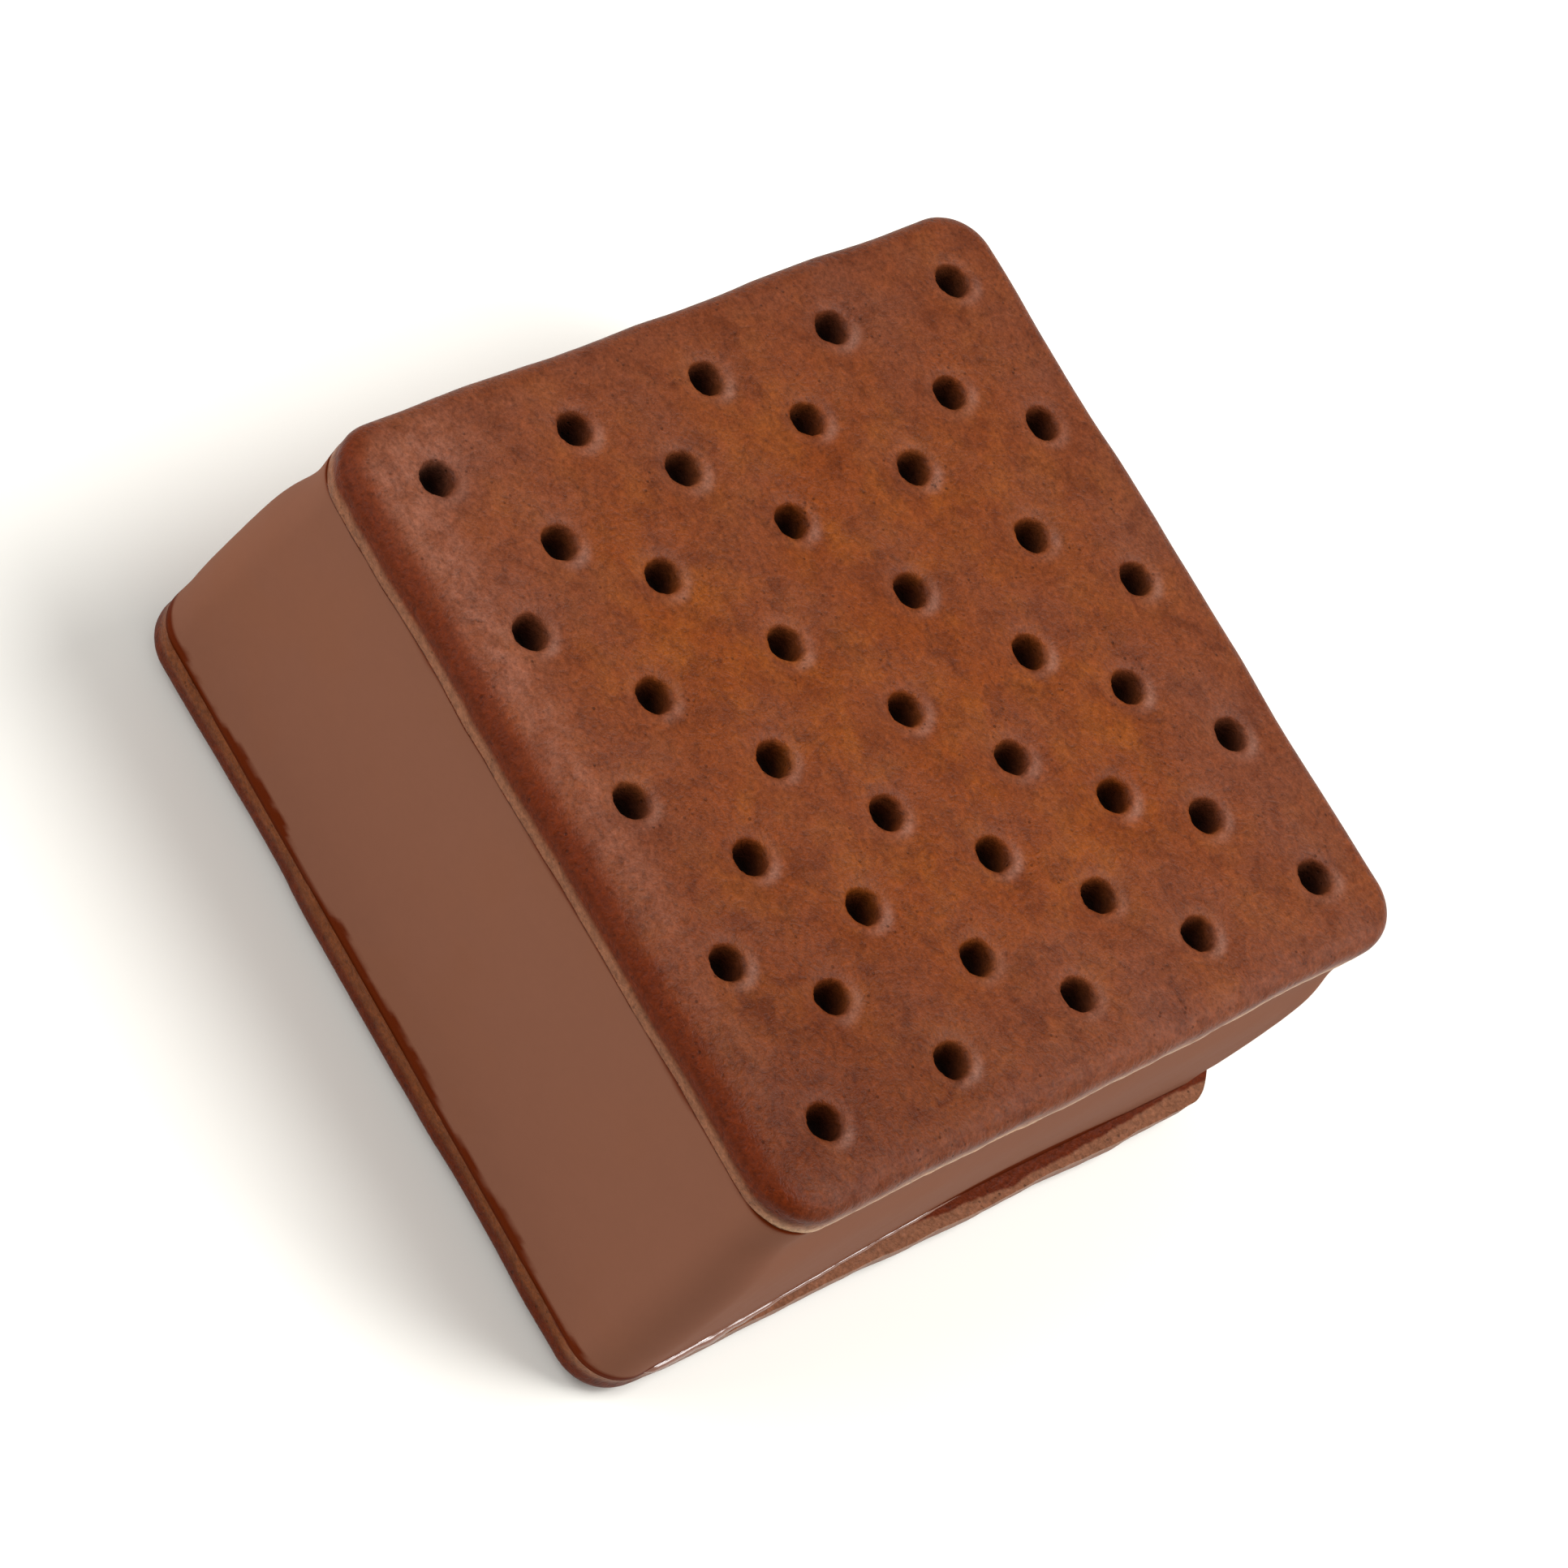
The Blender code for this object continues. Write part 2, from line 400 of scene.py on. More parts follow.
def wet_ledge(graph, home, place):
    """Cocoa has run onto the lower wafer where it stands out on the right, near the back."""
    x, y, z = graph.parts(home)
    ragged = graph.noise(place, 260.0, 3.0, 0.6) * (1.2 * MM)
    length = y.hump(14 * MM, 13 * MM)
    shore = 36.2 * MM + length * (1.0 * MM) + ragged
    inner = (z - WAFER_THICKNESS).size() * -1 + 0.35 * MM
    on_ledge = x.step(30 * MM, 32 * MM) * inner.step(0.0, 0.1 * MM)
    return (shore - x).step(-0.1 * MM, 0.2 * MM) * on_ledge


# %% [markdown]
# The finish is satin, because the wafer is moist, with a fine grain and small pores. Both are in
# the colour and in the bump, so they show in any light. The two wafers share one recipe: a shift
# moves the pattern, and two numbers say how pale the side is and how strong the joint line and
# the painted rim highlight are.


# %% Wafer material
def wafer_material(name, shift, joint, pale):
    """The baked wafer. The shift moves the pattern; joint and pale say how its side looks."""
    material, graph, shader, home = new_material(name)
    place = graph.vector("ADD", home, (shift, shift * 0.7, 0.0)).out()
    well, lip = attribute(graph, "well"), attribute(graph, "lip")
    grain = graph.noise(place, 2200.0, 3.0, 0.7)
    speckle = graph.noise(place, 5200.0, 2.0, 0.6)
    colour = face_colour(graph, place, home, attribute(graph, "edge"))
    # Painted highlight on the lit side of each docker hole.
    colour = mix_colour(graph, lip * 0.60, colour, LIP_HIGHLIGHT)
    colour = rim_colour(graph, place, home, colour, joint, pale)
    colour = mix_colour(graph, wet_ledge(graph, home, place), colour, WET_COCOA)
    # Painted shade deep in the docker holes.
    colour = mix_colour(graph, well ** 0.6, colour, WELL_SHADE)
    pores = graph.add("ShaderNodeTexVoronoi", None, {"Vector": place, "Scale": 1300.0})
    dots = 1 - pores.num("Distance").step(0.08, 0.24)
    pitted = dots * graph.noise(place, 300.0, 2.0).step(0.50, 0.66)
    leather = graph.noise(place, 950.0, 3.0, 0.65, 1.2)
    shade = (grain * 1.40 + leather * 0.75 + speckle * 0.50 - 0.33) * (1 - pitted * 0.50)
    colour = with_grain(graph, colour, shade)
    crinkle = graph.noise(place, 420.0, 3.0, 0.6) * attribute(graph, "rim").step(0.35, 0.65)
    relief = grain * 0.8 + leather * 1.2 + speckle * 0.3 - pitted * 0.6 + crinkle * 2.6
    sockets = {"Strength": 0.70, "Distance": 0.14 * MM, "Height": relief}
    bump = graph.add("ShaderNodeBump", None, sockets)
    graph.feed(shader.inputs["Base Color"], colour)
    graph.feed(shader.inputs["Roughness"], 0.34 + grain * 0.16 + well * 0.4)
    graph.feed(shader.inputs["Normal"], bump)
    shader.inputs["Specular IOR Level"].default_value = 0.08
    return material


upper_crust = wafer_material("chocolate_wafer_upper", 0.0, 0.95, 0.80)
lower_crust = wafer_material("chocolate_wafer_lower", 0.4, 0.15, 0.20)
print("made", upper_crust.name, "and", lower_crust.name)

# %% [markdown]
# ## Materials: the ice cream
# The ice cream is an even milk chocolate brown, almost matt. Very faint warm clouds keep it
# from looking like plastic. Where it meets the wafers, cocoa has run into it, and the `stain`
# attribute is high there. What has melted is the same brown, but wet: a low roughness and a
# high specular level draw the lamps as a bright line.


# %% Ice cream material
CREAM_BROWN = (0.190, 0.079, 0.048)
CREAM_WARM = (0.196, 0.078, 0.043)


def cream_material(name, roughness, sheen):
    material, graph, shader, place = new_material(name)
    clouds = graph.noise(place, 90.0, 3.0, 0.55).step(0.45, 0.75)
    frost = graph.noise(place, 1400.0, 3.0, 0.6)
    swirl = graph.noise(place, 320.0, 3.0, 0.6)
    colour = mix_colour(graph, clouds * 0.5, CREAM_BROWN, CREAM_WARM)
    stain = attribute(graph, "stain")
    colour = mix_colour(graph, stain, colour, WET_COCOA)
    shade = 0.95 + frost * 0.06 + swirl * 0.04
    colour = with_grain(graph, colour, shade)
    relief = frost * 0.5 + swirl * 0.8
    sockets = {"Strength": 0.20, "Distance": 0.06 * MM, "Height": relief}
    bump = graph.add("ShaderNodeBump", None, sockets)
    graph.feed(shader.inputs["Base Color"], colour)
    graph.feed(shader.inputs["Roughness"], roughness + frost * 0.10 - stain * 0.12)
    graph.feed(shader.inputs["Normal"], bump)
    shader.inputs["Specular IOR Level"].default_value = sheen
    return material


ice_brown = cream_material("chocolate_ice_cream", 0.55, 0.01)
melt_brown = cream_material("melted_ice_cream", 0.13, 1.00)
print("made", ice_brown.name, "and", melt_brown.name)

# %% [markdown]
# ## Where the docker holes are
# Dough for flat wafers is docked: a plate of pins pricks it so that steam escapes and it stays
# flat. The pins stand in rows of five and four in turn. Baking bends the inner rows a little
# towards the middle and carries each hole off its place. The same rule as in the CAD part gives
# the same places, kept as the vertices of a small mesh that the wafer's tree can look up.


# %% Docker hole places
PIN_PITCH = 0.199
PIN_DRIFT = 0.008
PIN_JITTER = 0.004
PIN_ROWS = (
    (-0.404, 5, 0.000),
    (-0.318, 4, 0.032),
    (-0.218, 5, 0.008),
    (-0.091, 4, 0.000),
    (0.031, 5, -0.030),
    (0.126, 4, -0.016),
    (0.215, 5, -0.009),
    (0.313, 4, -0.030),
    (0.399, 5, 0.000),
)


def pin_mesh(name, side, seed):
    dice = random.Random(seed)
    places = []
    for along_x, count, bow in PIN_ROWS:
        for i in range(count):
            step = i - (count - 1) / 2
            outer = abs(step) / ((count - 1) / 2)
            x = along_x + bow * outer ** 2 + dice.uniform(-PIN_JITTER, PIN_JITTER)
            y = PIN_DRIFT + step * PIN_PITCH + dice.uniform(-PIN_JITTER, PIN_JITTER)
            places.append((x * side, y * side, 0.0))
    mesh = bpy.data.meshes.new(name)
    mesh.from_pydata(places, [], [])
    print(name, "has", len(places), "holes")
    return mesh


top_pins = pin_mesh("top_pins", TOP_SIDE, 7)
base_pins = pin_mesh("base_pins", BASE_SIDE, 11)

# %% [markdown]
# ## The wafer's shape
# A wafer could be cut from a slab with Booleans, but its soft lips and its grain would then need
# a remesh. A grid that is bent into place keeps even, tidy faces. The tree takes a flat grid and
# reads each point as a distance along the surface: first the face, then over the rounded rim,
# then down the side. Square rings become rounded ones by pulling the corners in. Then every
# point looks up the nearest docker hole and sinks into it.


# %% Wafer tree, step 1: a grid bent over the rim
WAFER_INPUTS = (
    ("Side", "Float"), ("Thickness", "Float"), ("Corner Radius", "Float"), ("Rim Radius", "Float"),
    ("Steps", "Int"), ("Throat", "Float"), ("Floor", "Float"), ("Depth", "Float"),
    ("Dimple", "Float"), ("Wave", "Float"), ("Roughness", "Float"), ("Seed Shift", "Float"),
    ("Turn", "Rotation"), ("Lift", "Vector"), ("Crust", "Material"),
)


def bend_over_rim(graph, values, point):
    """Where a grid point lies on the wafer, with its shares of the way down and out."""
    x, y, _ = graph.parts(point)
    side, thickness = values.num("Side"), values.num("Thickness")
    corner, rim = values.num("Corner Radius"), values.num("Rim Radius")
    flat = side * 0.5 - rim
    ring = x.size().high(y.size()).high(1e-6)
    past = (ring - flat).high(0.0)
    angle = (past / rim).low(math.pi / 2)
    reach = ring.low(flat) + rim * angle.sine()
    below = rim * (1 - angle.cosine()) + (past - rim * (math.pi / 2)).high(0.0)
    share = reach / ring
    x, y = x * share, y * share
    bend = (corner - side * 0.5 + reach).high(1e-6)
    start = reach - bend
    over_x, over_y = (x.size() - start).high(0.0), (y.size() - start).high(0.0)
    diagonal = (over_x * over_x + over_y * over_y).math("SQRT").high(1e-7)
    pull = over_x.high(over_y) / diagonal
    new_x = x.math("SIGN") * (x.size().low(start) + over_x * pull)
    new_y = y.math("SIGN") * (y.size().low(start) + over_y * pull)
    down = below / thickness
    edge = reach / (side * 0.5)
    return new_x, new_y, thickness - below, down, edge


# %% [markdown]
# Each docker hole is a formula of the distance to its centre. The wall is steep, so grid points
# near it are first drawn towards it: `r + a sin(2 pi r / span)` leaves the centre and the outer
# end of the span alone and crowds the points in between. The profile then adds up a narrow
# tapered well, a soft flare at its mouth, and the wide shallow dimple that makes the face look
# quilted.


# %% Wafer tree, step 2: sink the docker holes
WALL_SPAN = 2.9 * MM
WALL_CROWDING = 0.27 * MM
RAGGEDNESS = 0.55 * MM              # how much a hole's outline wanders
FLARE_REACH, FLARE_DEPTH = 2.1 * MM, 0.32 * MM
DIMPLE_REACH = 4.2 * MM
LIP_RADIUS, LIP_REACH, LIP_HEIGHT = 2.25 * MM, 0.75 * MM, 0.05 * MM
SHINE_RADIUS, SHINE_REACH = 2.30 * MM, 0.46 * MM
SUNNY_X, SUNNY_Y = 0.82, 0.57       # the side of a hole that catches the light


def sink_holes(graph, values, x, y):
    """Move a point towards the nearest hole's wall, and find its depth, its well share and the
    share of the painted highlight on the hole's lip.
    """
    here = graph.join(x, y, 0.0)
    pins = values.out("Geometry")
    nearest = graph.add("GeometryNodeSampleNearest", {"domain": "POINT"},
                        {"Geometry": pins, "Sample Position": here})
    settings = {"data_type": "FLOAT_VECTOR", "domain": "POINT"}
    position = graph.add("GeometryNodeInputPosition")
    centre = graph.add("GeometryNodeSampleIndex", settings,
                       {"Geometry": pins, "Value": position, "Index": nearest})
    away = graph.vector("SUBTRACT", here, centre)
    distance = graph.vector("LENGTH", away).num("Value").high(1e-7)
    wave = (distance.low(WALL_SPAN) * (2 * math.pi / WALL_SPAN)).sine()
    crowded = distance + wave * WALL_CROWDING
    away_x, away_y, _ = graph.parts(away)
    stretch = crowded / distance - 1
    x, y = x + away_x * stretch, y + away_y * stretch
    shift = values.num("Seed Shift")
    probe = graph.join(x + shift, y, 0.0)
    ragged = (graph.noise(probe, 420.0, 2.0) - 0.5) * RAGGEDNESS
    radius = crowded + ragged
    wall = 1 - radius.step(values.num("Floor"), values.num("Throat"))
    flare = radius.hump(0.0, FLARE_REACH)
    dimple = radius.hump(0.0, DIMPLE_REACH)
    lip = radius.hump(LIP_RADIUS, LIP_REACH)
    sunny = ((away_x * SUNNY_X + away_y * SUNNY_Y) / distance).high(0.0)
    depth = wall * values.num("Depth") + flare * FLARE_DEPTH + dimple * values.num("Dimple")
    patchy = graph.noise(probe, 300.0, 2.0).step(0.35, 0.62) * 0.6 + 0.4
    # Where the painted highlight goes: on the lip, strongest on the side facing the light.
    shine = radius.hump(SHINE_RADIUS, SHINE_REACH) * (0.10 + sunny ** 3 * 0.80) * patchy
    return x, y, depth - lip * LIP_HEIGHT, wall, shine


# %% [markdown]
# The last step roughens the wafer. Slow waves and a wandering outline come from uneven baking,
# the face droops a little towards its edge, and the side is dented and crumbly. The finest grain
# stays in the material's bump. The noise only ever lowers the face and draws the side in, so
# that the wafer never leaves the space that the CAD part gives it.


# %% Wafer tree, step 3: roughen, store attributes, place
def store(graph, geometry, name, value):
    settings = {"data_type": "FLOAT", "domain": "POINT"}
    sockets = {"Geometry": geometry, "Name": name, "Value": value}
    return graph.add("GeometryNodeStoreNamedAttribute", settings, sockets)


SIDE_DENT = 0.45 * MM
OUTLINE_SWAY = 0.30 * MM
EDGE_DROOP = 0.45 * MM


def build_wafer_tree():
    graph, values = new_geometry_tree("docked_wafer", WAFER_INPUTS)
    side, thickness, rim = (values.num(n) for n in ("Side", "Thickness", "Rim Radius"))
    along = (side * 0.5 - rim + rim * (math.pi / 2) + (thickness - rim)) * 2
    steps = values.out("Steps")
    sockets = {"Size X": along, "Size Y": along, "Vertices X": steps, "Vertices Y": steps}
    grid = graph.add("GeometryNodeMeshGrid", None, sockets)
    point = graph.add("GeometryNodeInputPosition").out()
    x, y, z, down, edge = bend_over_rim(graph, values, point)
    # `lip` here is the mask of the painted highlight on each hole's lit side.
    x, y, depth, well, lip = sink_holes(graph, values, x, y)
    shift = values.num("Seed Shift")
    probe = graph.join(x + shift, y, z)
    wave = graph.noise(probe, 70.0, 2.0) * values.num("Wave")
    rough = graph.noise(probe, 480.0, 3.0, 0.6) * values.num("Roughness")
    fine = graph.noise(probe, 1300.0, 2.0, 0.6) * (values.num("Roughness") * 0.45)
    on_side = down.step(0.10, 0.55)
    dent = (graph.noise(probe, 210.0, 2.0) * 0.9 + 0.1) * SIDE_DENT * on_side
    sway = graph.noise(probe, 60.0, 1.0).step(0.35, 0.70) * OUTLINE_SWAY * edge ** 6
    face_share = 1 - down.step(0.0, 0.35)
    droop = edge.step(0.84, 1.0) * EDGE_DROOP
    z = z - depth * face_share - (wave + rough + fine + droop) * (1 - down.step(0.80, 1.0))
    draw_in = 1 - (dent + sway + (rough + fine) * on_side * 2.0) / (side * 0.5)
    moved = graph.join(x * draw_in, y * draw_in, z)
    shape = grid
    for name, value in (("rim", down), ("edge", edge), ("well", well), ("lip", lip)):
        shape = store(graph, shape, name, value)
    mesh = graph.add("GeometryNodeSetPosition", None, {"Geometry": shape, "Position": moved})
    sockets = {"Geometry": mesh, "Translation": values.out("Lift"), "Rotation": values.out("Turn")}
    placed = graph.add("GeometryNodeTransform", None, sockets)
    return finish_tree(graph, placed, values.out("Crust"))


wafer_tree = build_wafer_tree()
print("wafer tree has", len(wafer_tree.nodes), "nodes")

# %% [markdown]
# The two wafers come from the same tree. The upper one is turned slightly, as it was pressed on
# by hand. The lower one is turned over, so that its docked face is on the underside and its flat
# face carries the ice cream. It baked a little rougher.

# %% Make both wafers
WAFER_STEPS = 291
WAFER_VALUES = {
    "Thickness": WAFER_THICKNESS, "Corner Radius": CORNER_RADIUS, "Rim Radius": RIM_RADIUS,
    "Steps": WAFER_STEPS, "Throat": 1.72 * MM, "Floor": 1.02 * MM, "Depth": 2.7 * MM,
    "Dimple": 0.28 * MM, "Wave": 0.30 * MM, "Roughness": 0.045 * MM,
}


def make_wafer(name, pins, values):
    wafer = run_tree(name, pins, wafer_tree, {**WAFER_VALUES, **values})
    close_holes(wafer)
    return wafer


upper = make_wafer("upper_wafer", top_pins, {
    "Side": TOP_SIDE, "Seed Shift": 0.0, "Turn": (0.0, 0.0, TOP_TURN),
    "Lift": TOP_SHIFT + Vector((0.0, 0.0, HEIGHT - WAFER_THICKNESS)), "Crust": upper_crust,
})
lower = make_wafer("lower_wafer", base_pins, {
    "Side": BASE_SIDE, "Seed Shift": 0.31, "Turn": (0.0, math.pi, 0.0),
    "Lift": (0.0, 0.0, WAFER_THICKNESS), "Crust": lower_crust, "Wave": 0.16 * MM,
})

# %% [markdown]
# ## The block of ice cream
# The block is pressed between the wafers, so its outline is theirs and its sides are smooth. It
# draws in slightly under the upper wafer, and its right side leans in towards the lower one. The
# tree wraps a grid round a rounded square: one direction of the grid runs along the outline, the
# other up the side. The outline is a fillet curve that is sampled at each point, and the seam is
# welded at the end.

# %% Ice cream sides
CREAM_INPUTS = (
    ("Side", "Float"), ("Top Scale", "Float"), ("Top Turn", "Float"), ("Top Shift", "Vector"),
    ("Corner Radius", "Float"), ("Floor Height", "Float"), ("Height", "Float"),
    ("Around", "Int"), ("Up", "Int"), ("Upper Neck", "Float"), ("Lower Neck", "Float"),
    ("Wave", "Float"), ("Right Lean", "Float"),
    ("Cream", "Material"),
)
SEAM_WELD = 0.002 * MM
LEAN_STARTS = (-1.0, 0.3)           # the lean grows between these shares of the half side
SIDE_BULGE = {"left": 0.3 * MM, "right": 0.3 * MM, "front": 0.1 * MM, "back": 0.5 * MM}


def side_swell(graph, values, outline, share):
    """How far the side swells out here: each of the four sides has its own amount."""
    x, y, _ = graph.parts(outline)
    reach = values.num("Side") * 0.5
    across_x, across_y = x / reach, y / reach
    swell = (share * math.pi).sine()
    to_right = across_x.step(0.6, 1.0) * SIDE_BULGE["right"]
    to_left = (across_x * -1).step(0.6, 1.0) * SIDE_BULGE["left"]
    to_back = across_y.step(0.6, 1.0) * SIDE_BULGE["back"]
    to_front = (across_y * -1).step(0.6, 1.0) * SIDE_BULGE["front"]
    lean = values.num("Right Lean") * (1 - share) * across_x.step(0.6, 1.0)
    lean = lean * across_y.step(*LEAN_STARTS)
    return (to_right + to_left).high(to_back + to_front) * swell - lean


# %% [markdown]
# The outline of the stain is worked out in the same tree, since it depends on how high a point
# lies above the joint. A ragged hem has crept up from the lower wafer, and only a thin line has
# run down from the upper one. On the right, a little towards the back, the dark colour also
# reaches higher in a streak above the joint.


# %% Cocoa stain
def cocoa_stain(graph, probe, above, height):
    """Wet cocoa that has crept onto the ice cream: a ragged hem below and a thin line above."""
    x, y, _ = graph.parts(probe)
    creep = graph.noise(probe, 110.0, 3.0, 0.55).step(0.36, 0.76) * (1.7 * MM) + 0.60 * MM
    # On the right, a little towards the back, the dark colour reaches higher in a streak.
    streak = (y - 12 * MM).size() * -1 / (15 * MM) + 1
    creep = creep.high(streak.high(0.0) ** 0.5 * x.step(30 * MM, 34 * MM) * (3.2 * MM))
    hem = 1 - (above - creep).step(-0.25 * MM, 0.20 * MM)
    upper_creep = graph.noise(probe, 140.0, 3.0, 0.6) * (0.5 * MM) + 0.1 * MM
    line = 1 - ((height - above) - upper_creep).step(-0.15 * MM, 0.20 * MM)
    return hem.high(line)


# %% Ice cream tree
def neck_depth(values, share):
    """How far the side draws in below the upper wafer and above the lower one."""
    upper = share.hump(0.86, 0.13) * values.num("Upper Neck")
    return upper + share.hump(0.10, 0.08) * values.num("Lower Neck")


def build_cream_tree():
    graph, values = new_geometry_tree("ice_cream_block", CREAM_INPUTS)
    around, up = values.out("Around"), values.out("Up")
    sockets = {"Size X": 1.0, "Size Y": 1.0, "Vertices X": around, "Vertices Y": up}
    grid = graph.add("GeometryNodeMeshGrid", None, sockets)
    u, v, _ = graph.parts(graph.add("GeometryNodeInputPosition").out())
    share = v + 0.5
    side = values.num("Side")
    square = graph.add("GeometryNodeCurvePrimitiveQuadrilateral", {"mode": "RECTANGLE"},
                       {"Width": side, "Height": side})
    outline = graph.add("GeometryNodeFilletCurve", {"mode": "POLY"},
                        {"Curve": square, "Radius": values.out("Corner Radius")})
    graph.feed(outline.node.inputs["Count"], 24)
    sampled = graph.add("GeometryNodeSampleCurve", {"mode": "FACTOR", "use_all_curves": True},
                        {"Curves": outline, "Factor": u + 0.5})
    spot = sampled.out("Position")
    across = graph.vector("CROSS_PRODUCT", sampled.out("Tangent"), (0, 0, 1))
    outward = graph.vector("NORMALIZE", across)
    turned_in = graph.vector("DOT_PRODUCT", outward, spot).num("Value").math("SIGN")
    height = values.num("Height")
    x, y, _ = graph.parts(spot)
    probe = graph.join(x, y, share * height)
    waves = (graph.noise(probe, 60.0, 2.0) - 0.5) * values.num("Wave")
    ripples = (graph.noise(probe, 350.0, 2.0) - 0.5) * (values.num("Wave") * 0.22)
    out = side_swell(graph, values, spot, share) - neck_depth(values, share)
    out = out + (waves + ripples) * (share * math.pi).sine()
    push = graph.vector("SCALE", outward, Scale=out * turned_in)
    spread = (values.num("Top Scale") - 1) * share + 1
    moved = graph.vector("SCALE", graph.vector("ADD", spot, push), Scale=spread)
    turned = graph.add("ShaderNodeVectorRotate", {"rotation_type": "Z_AXIS"},
                       {"Vector": moved, "Angle": values.num("Top Turn") * share})
    slid = graph.vector("SCALE", values.out("Top Shift"), Scale=share)
    x, y, _ = graph.parts(graph.vector("ADD", turned, slid))
    z = values.num("Floor Height") + share * height
    stain = cocoa_stain(graph, probe, share * height, height)
    shape = store(graph, grid, "stain", stain)
    sockets = {"Geometry": shape, "Position": graph.join(x, y, z)}
    mesh = graph.add("GeometryNodeSetPosition", None, sockets)
    sockets = {"Geometry": mesh, "Distance": SEAM_WELD}
    welded = graph.add("GeometryNodeMergeByDistance", None, sockets)
    return finish_tree(graph, welded, values.out("Cream"))


cream_tree = build_cream_tree()
print("ice cream tree has", len(cream_tree.nodes), "nodes")

# %% [markdown]
# The block reaches a hair into both wafers, so that no light shows at the joints. Its sizes are
# those of the CAD part's block.

# %% Make the ice cream
FILLING_INSET = 0.4 * MM
FILLING_CORNER = 4.6 * MM
RIGHT_LEAN = 1.9 * MM
OVERLAP = 0.05 * MM                 # how far the ice cream reaches into each wafer's inner face

cream = run_tree("ice_cream_core", bpy.data.meshes.new("empty"), cream_tree, {
    "Side": BASE_SIDE - 2 * FILLING_INSET, "Top Scale": TOP_SIDE / BASE_SIDE,
    "Top Turn": TOP_TURN, "Top Shift": TOP_SHIFT, "Right Lean": RIGHT_LEAN,
    "Corner Radius": FILLING_CORNER, "Floor Height": WAFER_THICKNESS - OVERLAP,
    "Height": HEIGHT - 2 * WAFER_THICKNESS + 2 * OVERLAP, "Around": 700, "Up": 64,
    "Upper Neck": 0.7 * MM, "Lower Neck": 0.1 * MM, "Wave": 0.35 * MM, "Cream": ice_brown,
})
close_holes(cream)

# %% [markdown]
# ## Melted ice cream along the joint
# Where the right side meets the lower wafer, a thin thread of ice cream has melted. It starts at
# the front corner and thins out half way along. A curve suits it, since it has a path and a
# thickness. The tree runs one along the foot of that side, so the thread follows the lean of the
# ice cream, and gives it a radius that swells and tapers.

# %% Melt thread
MELT_INPUTS = (
    ("Half Side", "Float"), ("Right Lean", "Float"), ("Floor Height", "Float"), ("From", "Float"),
    ("To", "Float"), ("Radius", "Float"), ("Melt", "Material"),
)


def build_melt_tree():
    graph, values = new_geometry_tree("melt_thread", MELT_INPUTS)
    start = graph.join(0.0, values.num("From"), 0.0)
    end = graph.join(0.0, values.num("To"), 0.0)
    line = graph.add("GeometryNodeCurvePrimitiveLine", None, {"Start": start, "End": end})
    points = graph.add("GeometryNodeResampleCurve", None, {"Curve": line, "Count": 140})
    _, y, _ = graph.parts(graph.add("GeometryNodeInputPosition").out())
    half = values.num("Half Side")
    along = (y - values.num("From")) / (values.num("To") - values.num("From"))
    inward = values.num("Right Lean") * (y / half).step(*LEAN_STARTS)
    sway = (graph.noise(graph.join(0.0, y, 0.0), 260.0, 2.0) - 0.5) * (0.25 * MM)
    height = values.num("Floor Height") + values.num("Radius") * 0.7
    place = graph.join(half - inward + sway, y, height)
    bent = graph.add("GeometryNodeSetPosition", None, {"Geometry": points, "Position": place})
    lumps = graph.noise(graph.join(0.0, y, 1.0), 330.0, 2.0) + 0.5
    taper = along.step(0.0, 0.04) * (1 - along.step(0.15, 0.45) * 0.40)
    taper = taper * (1 - along.step(0.80, 1.0))
    scale = values.num("Radius") * taper * lumps + 0.02 * MM
    ring = graph.add("GeometryNodeCurvePrimitiveCircle", {"mode": "RADIUS"},
                     {"Resolution": 10, "Radius": 1.0})
    sockets = {"Curve": bent, "Profile Curve": ring, "Scale": scale, "Fill Caps": True}
    tube = graph.add("GeometryNodeCurveToMesh", None, sockets)
    return finish_tree(graph, tube, values.out("Melt"))


CREAM_HALF = BASE_SIDE / 2 - FILLING_INSET
melt = run_tree("melt_thread", bpy.data.meshes.new("empty"), build_melt_tree(), {
    "Half Side": CREAM_HALF - 0.12 * MM, "Right Lean": RIGHT_LEAN, "Floor Height": WAFER_THICKNESS,
    "From": FILLING_CORNER - CREAM_HALF, "To": 8 * MM, "Radius": 0.52 * MM, "Melt": melt_brown,
})
close_holes(melt)

# %% [markdown]
# ## Hide the plain layers and tie the pieces to the body
# Each layer replaces its plain CAD layer and moves with the part's one body. The melted thread
# has no layer of its own in the CAD part, so it only rides along.

# %% Tie the pieces to the frame
for piece, node, slot in (
    (upper, "wafer_top", "upper_wafer"),
    (lower, "wafer_bottom", "lower_wafer"),
    (cream, "ice_cream", "ice_cream"),
):
    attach(piece, "root")
    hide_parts(node)
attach(melt, "root")

# %% [markdown]
# ## Floor
# A plain white floor and a white surround give the even light of a product picture. The floor
# lies a hair below the wafer, and it isn't part of the finished model.

# %% Floor
def plain_material(name, colour, roughness):
    material, _, shader, _ = new_material(name)
    shader.inputs["Base Color"].default_value = (*colour, 1.0)
    shader.inputs["Roughness"].default_value = roughness
    return material


def make_floor(size, drop):
    mesh = bpy.data.meshes.new("floor")
    half = size / 2
    corners = [(-half, -half, 0.0), (half, -half, 0.0), (half, half, 0.0), (-half, half, 0.0)]
    mesh.from_pydata(corners, [], [(0, 1, 2, 3)])
    floor = bpy.data.objects.new("floor", mesh)
    floor.data.materials.append(plain_material("white_floor", (0.79, 0.775, 0.725), 0.8))
    bpy.context.scene.collection.objects.link(floor)
    floor.location.z = -drop
    print(floor.name, "is", size, "m wide")


make_floor(6.0, 0.02 * MM)

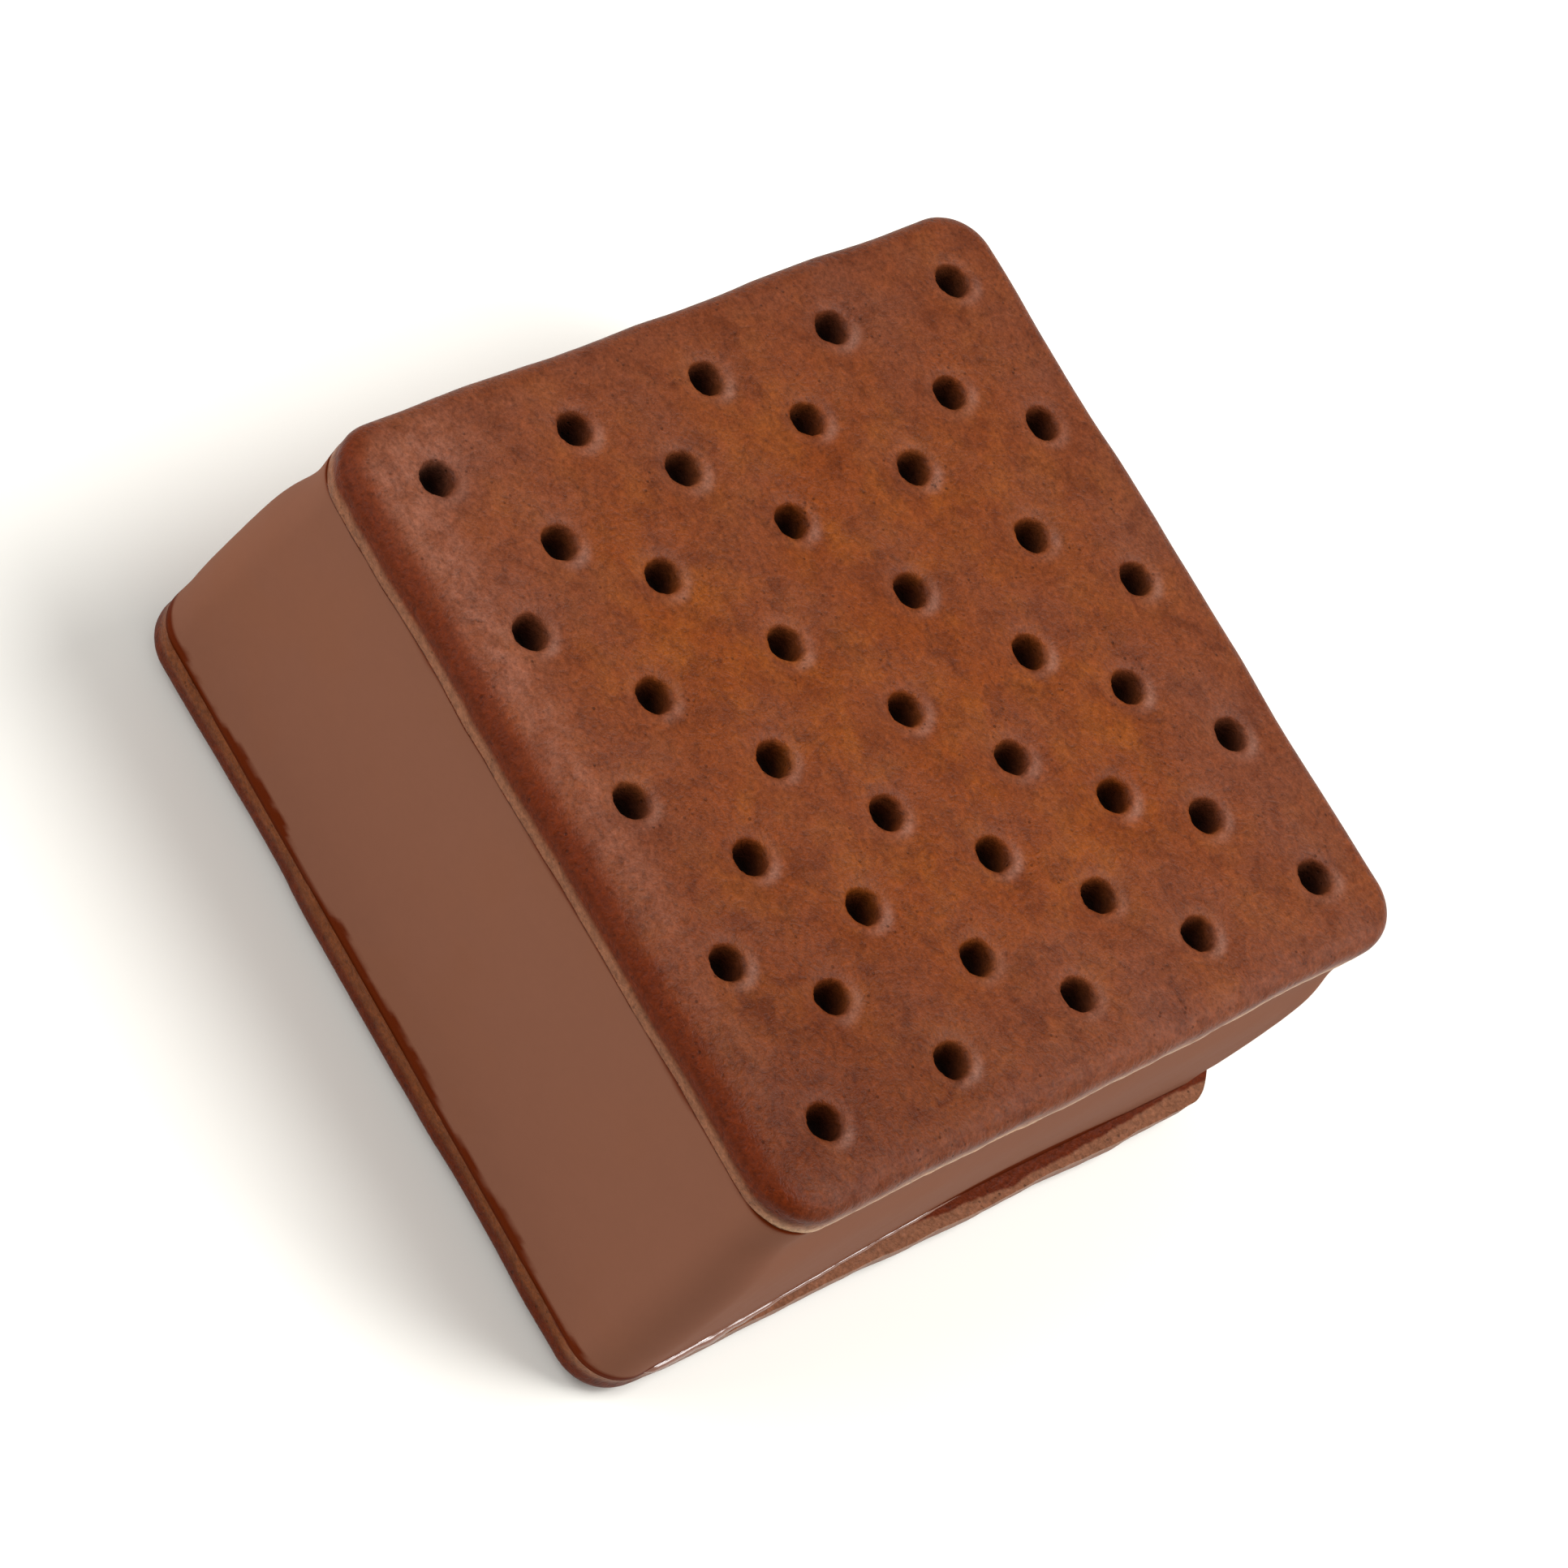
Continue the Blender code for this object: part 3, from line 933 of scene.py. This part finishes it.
# %% [markdown]
# ## Lights
# The key light stands high behind the right corner and draws the shadow to the left. A larger,
# softer one in front keeps the broad side as bright as the face. A small lamp, lower on the
# right, makes the bright line on the melted thread and along the rim.

# %% Lights
middle = Vector((0.0, 0.0, HEIGHT / 2))


def direction(azimuth, elevation):
    """From the middle towards a viewer: azimuth 0 is in front, on the -Y side."""
    a, e = math.radians(azimuth), math.radians(elevation)
    return Vector((math.sin(a) * math.cos(e), -math.cos(a) * math.cos(e), math.sin(e)))


def soft_light(name, azimuth, elevation, distance, size, power):
    lamp = bpy.data.lights.new(name, "AREA")
    lamp.shape = "DISK"
    lamp.size = size
    lamp.energy = power
    holder = bpy.data.objects.new(name, lamp)
    towards = direction(azimuth, elevation)
    holder.location = middle + towards * distance
    holder.rotation_mode = "QUATERNION"
    holder.rotation_quaternion = towards.to_track_quat("Z", "Y")
    bpy.context.scene.collection.objects.link(holder)
    print(name, "light:", size, "m wide,", power, "W")


soft_light("key", 150, 66, 0.9, 0.45, 7.0)
soft_light("front", -40, 35, 0.9, 0.8, 5.6)
soft_light("glint", 135, 38, 0.8, 0.32, 2.2)

world = bpy.data.worlds.new("white_surround")
world.use_nodes = True
surround = world.node_tree.nodes["Background"]
surround.inputs["Color"].default_value = (1.0, 1.0, 1.0, 1.0)
surround.inputs["Strength"].default_value = 0.45
bpy.context.scene.world = world

# %% [markdown]
# ## Camera
# The camera looks down at the front from a little to the right, through a long lens, which keeps
# the square nearly square. It is also rolled on its side, so the sandwich seems to lean.

# %% Camera
CAMERA_AZIMUTH = 13.96
CAMERA_ELEVATION = 49.41
CAMERA_DISTANCE = 0.5488
CAMERA_ROLL = math.radians(49.1)
CAMERA_LENS = 148.0

lens = bpy.data.cameras.new("camera")
lens.lens = CAMERA_LENS
camera = bpy.data.objects.new("camera", lens)
back = direction(CAMERA_AZIMUTH, CAMERA_ELEVATION)
camera.location = middle + back * CAMERA_DISTANCE
camera.rotation_mode = "QUATERNION"
level = back.to_track_quat("Z", "Y")
line_of_sight = Vector((0.0, 0.0, 1.0))
camera.rotation_quaternion = level @ Quaternion(line_of_sight, CAMERA_ROLL)
bpy.context.scene.collection.objects.link(camera)
bpy.context.scene.camera = camera
bpy.context.scene.view_settings.view_transform = "Standard"
print("camera at", [round(c, 3) for c in camera.location])
